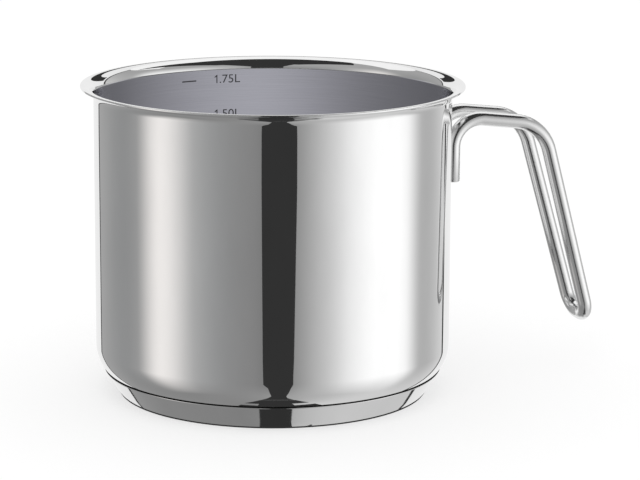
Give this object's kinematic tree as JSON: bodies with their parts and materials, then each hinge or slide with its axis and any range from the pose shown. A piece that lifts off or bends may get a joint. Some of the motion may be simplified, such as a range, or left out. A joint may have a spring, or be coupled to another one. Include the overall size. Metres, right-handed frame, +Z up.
{
  "type": "milk pan",
  "caption": "Tall round steel milk pan with a flared pouring rim, a thick capsule base and a bent wire handle welded to the wall.",
  "frame": {"origin": "centre of the base's underside, on the surface the pan stands on", "axes": "+Z up along the pan's axis, +X from the axis towards the handle"},
  "size_m": [0.2193, 0.1556, 0.1267],
  "materials": {
    "pot_steel": "mirror polished outside, satin inside",
    "base_steel": "polished side, fine turned rings underneath",
    "core_aluminium": "mill finish, sealed inside the base",
    "braze": "dull bonding layer, sealed inside the base",
    "handle_steel": "bright drawn rod",
    "weld_steel": "weld nuggets between rod and wall"
  },
  "bodies": {
    "root": {"pot_shell": "pot_steel", "base_cap": "base_steel", "core_disc": "core_aluminium", "lower_braze_film": "braze", "upper_braze_film": "braze", "handle_wire": "handle_steel", "weld_nuggets": "weld_steel"}
  },
  "joints": []
}
